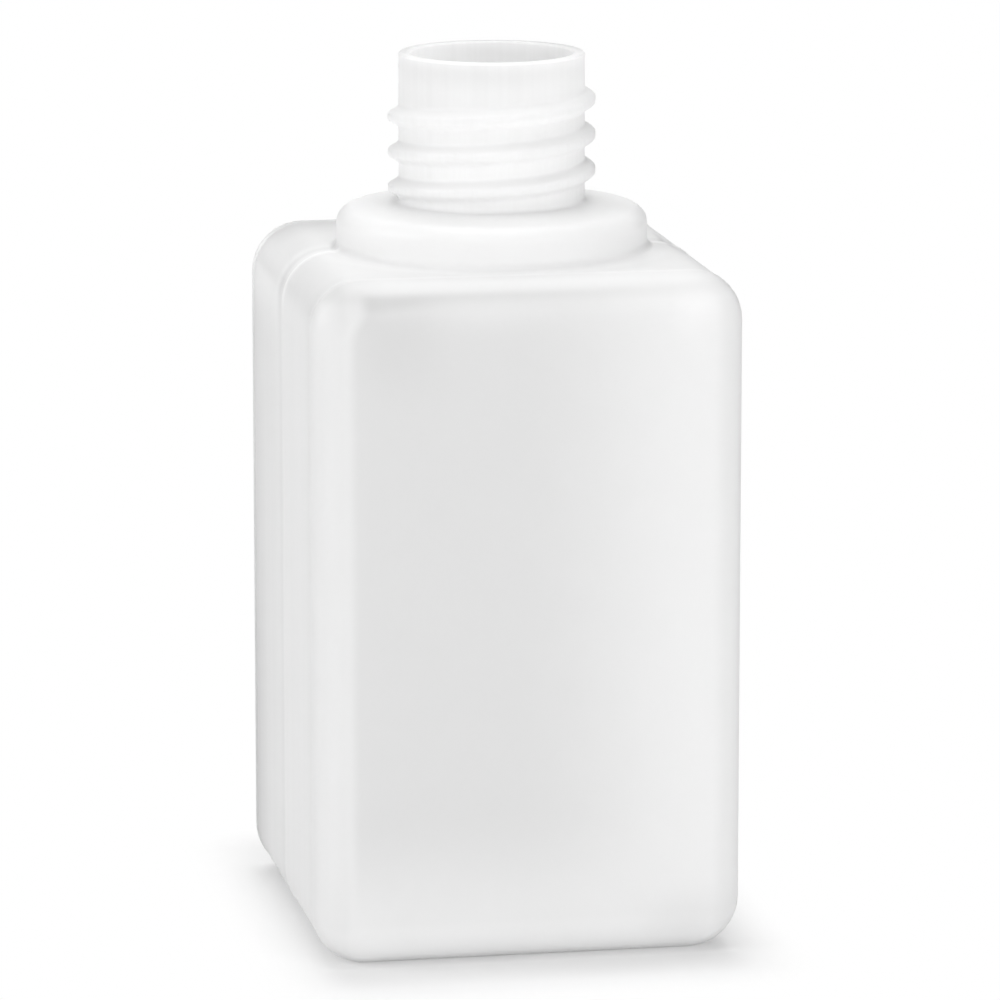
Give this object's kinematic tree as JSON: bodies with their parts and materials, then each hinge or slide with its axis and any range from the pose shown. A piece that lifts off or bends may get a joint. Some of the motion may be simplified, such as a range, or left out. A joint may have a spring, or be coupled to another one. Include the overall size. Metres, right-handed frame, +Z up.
{
  "type": "narrow-neck bottle",
  "caption": "Square moulded plastic bottle with a round collar and a narrow, coarsely threaded neck, open at the mouth.",
  "frame": {"origin": "middle of the surface that the bottle stands on, on the neck's axis", "axes": "+Z up along the neck, -Y towards the front panel, +X to the right as seen from the front"},
  "size_m": [0.058, 0.059, 0.1186],
  "materials": {
    "natural_polyethylene": "milky translucent natural polyethylene, satin as moulded"
  },
  "bodies": {
    "root": {"bottle": "natural_polyethylene"}
  },
  "joints": []
}
